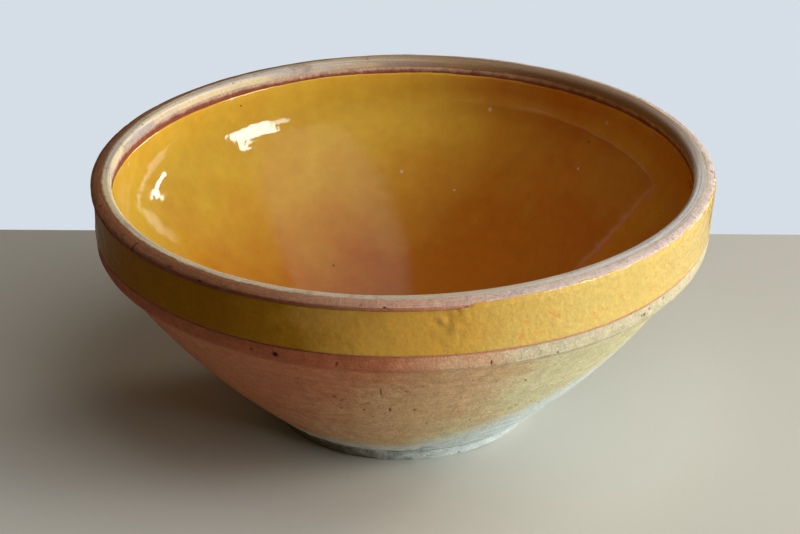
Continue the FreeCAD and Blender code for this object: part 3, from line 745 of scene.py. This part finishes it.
def makeLipSlip():
    thick, inner = coats["slip"], collar["innerRadius"]
    crown, inRadius, outRadius = collar["crown"], collar["insideRadius"], collar["crownRadius"]
    hub = (inRadius + inner, crown - inner)
    outline = [(outRadius, crown)] + straight((outRadius, crown), (hub[0], crown), 3)
    outline += arcPoints(hub, inner, 90, 180, 4)[1:]
    outline += straight(outline[-1], (inRadius, slipLow.z), 3)
    outline += [(inRadius - 0.2 * mm, slipLow.z), (inRadius - thick, slipLow.z + 0.3 * mm)]
    outline += straight(outline[-1], (inRadius - thick, hub[1]), 4)
    outline += arcPoints(hub, inner + thick, 180, 90, 7)[1:]
    outline += straight(outline[-1], (outRadius - 1.6 * mm, crown + thick), 4)
    outline += [(outRadius - 0.8 * mm, crown + 0.2 * mm), (outRadius, crown + 0.06 * mm), (outRadius, crown)]
    shape = turned(outline, edgeSteps)
    for vert in shape.verts:
        co = vert.co
        radius = math.hypot(co.x, co.y)
        ragged = wander(co, 14 * mm, 9.0) + 0.5 * wander(co, 4 * mm, 4.0)
        grow = 1 + smoothStep(outRadius - 3 * mm, outRadius, radius) * 0.5 * mm * ragged / radius
        lowEdge = smoothStep(slipLow.z + 1.5 * mm, slipLow.z, co.z)
        topShare = smoothStep(crown, crown + 0.2 * mm, co.z)
        vert.co = Vector((co.x * grow, co.y * grow,
                          co.z + lowEdge * 0.8 * mm * ragged + topShare * 0.12 * mm * wander(co, 9 * mm)))
    return finished(shape, "lipSlipSkin", "lip_slip", paleSlip())


# On the hotter side the band's glaze is thick, and crept up over the rim's side to a feathered edge.
glazeClimb = dict(steps=10, length=6 * mm, reach=5.2 * mm, ragged=1.4 * mm, high=1.4 * mm, coat=0.4 * mm,
                  bulge=1.7 * mm, bulging=(131 * mm, 160 * mm), start=(-84, -79), end=(64, 58), sway=5,
                  highest=(-80, -66, -50))


def laidAlong(path, distance, out):  # the point at a distance along the path, moved out from it
    for start, end in zip(path, path[1:]):
        length = math.dist(start, end)
        if distance <= length or end is path[-1]:
            break
        distance -= length
    share = distance / length
    return (start[0] + (end[0] - start[0]) * share + (end[1] - start[1]) / length * out,
            start[1] + (end[1] - start[1]) * share - (end[0] - start[0]) / length * out)


def makeBandGlaze():
    low, top, thick = bandLow.z, bandHigh.z, coats["glaze"]
    radius, length, steps = collar["bandRadius"], glazeClimb["length"], glazeClimb["steps"]
    outline = bandOutline(low, top - 0.4 * mm, 6)
    outline += straight(outline[-1], (radius, top + length), steps)
    outline += [(radius + thick, top + length)]
    outline += straight(outline[-1], (radius + thick, top + length / steps), steps - 1)
    outline += bandOutline(low + 0.8 * mm, top - 0.8 * mm, 22, thick)[::-1]
    lowRadius = collar["bandLowRadius"]
    outline += [(lowRadius + 0.72 * mm, low + 0.25 * mm), (lowRadius + 0.5 * mm, low), outline[0]]
    shape = turned(outline, edgeSteps)
    climb = shape.verts.layers.float.new("climb")
    coat, bulge = glazeClimb["coat"], glazeClimb["bulge"]
    overRim = [(radius + thick + bulge, top - 0.8 * mm), (radius + thick + bulge + 0.1 * mm, top)]
    overRim += rimOutline(coat)
    for vert in shape.verts:
        co = vert.co
        far = math.hypot(co.x, co.y)
        angle = math.degrees(math.atan2(co.y, co.x))
        ragged = wander(co, 16 * mm, 7.0) + 0.6 * wander(co, 5 * mm, 1.0)
        swayed = angle + glazeClimb["sway"] * ragged
        risen = smoothStep(*glazeClimb["start"], swayed) * smoothStep(*glazeClimb["end"], swayed)
        if co.z < top - 1e-6:
            grow = 1.0
            if vert.normal.x * co.x + vert.normal.y * co.y > 0:
                grow += risen * smoothStep(*glazeClimb["bulging"], co.z) * bulge / far
            lower = smoothStep(low + 2 * mm, low, co.z)
            vert.co = Vector((co.x * grow, co.y * grow, co.z + lower * 0.3 * mm * wander(co, 9 * mm, 3.0)))
            continue
        # The straight strip above the band is laid over the rim, or drawn back into the band's upper edge.
        share = (co.z - top) / length
        proud = far > radius + thick / 2
        still = ((radius + thick - 0.5 * mm * share ** 2) if proud else radius,
                 top + 0.3 * mm * ragged * share - 0.8 * mm * (1 - share))
        reach = glazeClimb["reach"] + glazeClimb["high"] * hump(*glazeClimb["highest"], angle)
        distance = share * (reach + glazeClimb["ragged"] * ragged)
        laid = laidAlong(overRim, distance, -(coat + 0.05 * mm) * share ** 4 if proud else -0.6 * mm)
        newRadius = still[0] + (laid[0] - still[0]) * risen
        newHeight = still[1] + (laid[1] - still[1]) * risen
        vert.co = Vector((co.x * newRadius / far, co.y * newRadius / far, newHeight))
        vert[climb] = share
    shape.normal_update()
    for vert in shape.verts:
        co = vert.co
        if vert[climb] < 0.9 and vert.normal.x * co.x + vert.normal.y * co.y > 0:
            skin = 0.14 * wander(co, 12 * mm) + 0.08 * wander(co, 4.5 * mm)
            vert.co = co + vert.normal * skin * mm * (1 - 0.7 * vert[climb])
    return finished(shape, "bandGlazeCoat", "band_glaze", leadGlazeBand())


# A plain pale table top that ends behind the bowl.
tableLook = dict(shade="#BDBBB1", light="#C7C5BB", roughness=0.5, width=12.0, backEdge=0.26)


def makeTable(look=tableLook):
    middle = look["backEdge"] - look["width"] / 2
    bpy.ops.mesh.primitive_plane_add(size=look["width"], location=(0, middle, 0))
    top = bpy.context.object
    top.name = "tableTop"
    material, tree, place = newMaterial("paleTable")[:3]
    clouds = addNode(tree, "TexNoise", {"Vector": place, "Scale": 3.0, "Detail": 6.0})
    colour = addNode(tree, "Mix", {0: clouds, 6: linear(look["shade"]), 7: linear(look["light"])}, 2,
        **colours)
    shader = addNode(tree, "BsdfPrincipled", {"Base Color": colour, "Roughness": look["roughness"]})
    addNode(tree, "OutputMaterial", {"Surface": shader})
    top.data.materials.append(material)


lamps = [  # azimuth and elevation of its middle in degrees, distance and sides in metres
    dict(name="frontWindow", azimuth=-19, elevation=23, distance=2.2, width=0.7, height=0.8, power=30,
         colour="#FFFFFF", mirrored=True),
    dict(name="sidePane", azimuth=-33, elevation=21, distance=2.2, width=0.34, height=0.28, power=2.4,
         colour="#FFFFFF", mirrored=True),
    dict(name="lowFrontWindow", azimuth=-28, elevation=4.0, distance=2.2, width=1.0, height=0.2, power=25,
         colour="#FFFFFF", mirrored=False),
    dict(name="backWindow", azimuth=38, elevation=8.8, distance=2.2, width=0.6, height=0.32, power=20,
         colour="#FFF6EA", mirrored=True),
    dict(name="ceiling", azimuth=-35, elevation=65, distance=2.6, width=2.0, height=2.0, power=17,
         colour="#FFFFFF", mirrored=False),
]


def makeLights():
    for lamp in lamps:
        data = bpy.data.lights.new(lamp["name"], "AREA")
        data.shape = "RECTANGLE"
        data.size = lamp["width"]
        data.size_y = lamp["height"]
        data.energy = lamp["power"]
        data.color = linear(lamp["colour"])[:3]
        light = bpy.data.objects.new(lamp["name"], data)
        azimuth = math.radians(lamp["azimuth"])
        elevation = math.radians(lamp["elevation"])
        towards = Vector((math.cos(azimuth) * math.cos(elevation), math.sin(azimuth) * math.cos(elevation),
                          math.sin(elevation)))
        light.location = Vector((0, 0, clayHigh.z)) + towards * lamp["distance"]
        light.rotation_euler = towards.to_track_quat("Z", "Y").to_euler()
        light.visible_glossy = lamp["mirrored"]
        bpy.context.collection.objects.link(light)


# A warm dim room, browner towards the shadowed side, with one bright patch overhead.
roomLook = dict(backdrop="#D5DEE6", room="#A49C92", shadowed="#94764E", bright="#E4EAF2", roomStrength=0.35,
                brightStrength=0.85, towards=(0.41, -0.24, 0.88), edge=0.86, full=0.93)


def makeRoom(look=roomLook):
    world = bpy.data.worlds.new("room")
    bpy.context.scene.world = world
    world.use_nodes = True
    tree = world.node_tree
    tree.nodes.clear()
    towards = addNode(tree, "TexCoord", {}, "Generated")
    facing = addNode(tree, "VectorMath", {0: towards, 1: Vector(look["towards"]).normalized()}, "Value",
        operation="DOT_PRODUCT")
    share = addNode(tree, "MapRange", {"Value": facing, "From Min": look["edge"], "From Max": look["full"]},
        **smooth)
    sideways = addNode(tree, "SeparateXYZ", {0: towards}, "X")
    away = addNode(tree, "MapRange", {"Value": sideways, "From Min": 0.3, "From Max": -0.6}, **smooth)
    walls = addNode(tree, "Mix", {0: away, 6: linear(look["room"]), 7: linear(look["shadowed"])}, 2,
        **colours)
    room = addNode(tree, "Background", {"Color": walls, "Strength": look["roomStrength"]})
    bright = addNode(tree, "Background", {"Color": linear(look["bright"]),
        "Strength": look["brightStrength"]})
    lit = addNode(tree, "MixShader", {0: share, 1: room, 2: bright})
    seen = addNode(tree, "Background", {"Color": linear(look["backdrop"]), "Strength": 1.0})
    cameraRay = addNode(tree, "LightPath", {}, "Is Camera Ray")
    both = addNode(tree, "MixShader", {0: cameraRay, 1: lit, 2: seen})
    addNode(tree, "OutputWorld", {"Surface": both})


# Angles in degrees: down from level, and turned to the left.
view = dict(position=(0.0214, -1.5328, 0.8419), down=25.92, turn=0.86, lens=117.0)


def makeCamera():
    data = bpy.data.cameras.new("viewCamera")
    data.lens = view["lens"]
    camera = bpy.data.objects.new("viewCamera", data)
    camera.location = view["position"]
    camera.rotation_euler = (math.radians(90 - view["down"]), 0, math.radians(view["turn"]))
    bpy.context.collection.objects.link(camera)
    bpy.context.scene.camera = camera
    bpy.context.scene.view_settings.view_transform = "Standard"


makeCamera()
makeClayBody()
makeInsideGlaze()
makeLipSlip()
makeBandGlaze()
makeTable()
makeLights()
makeRoom()
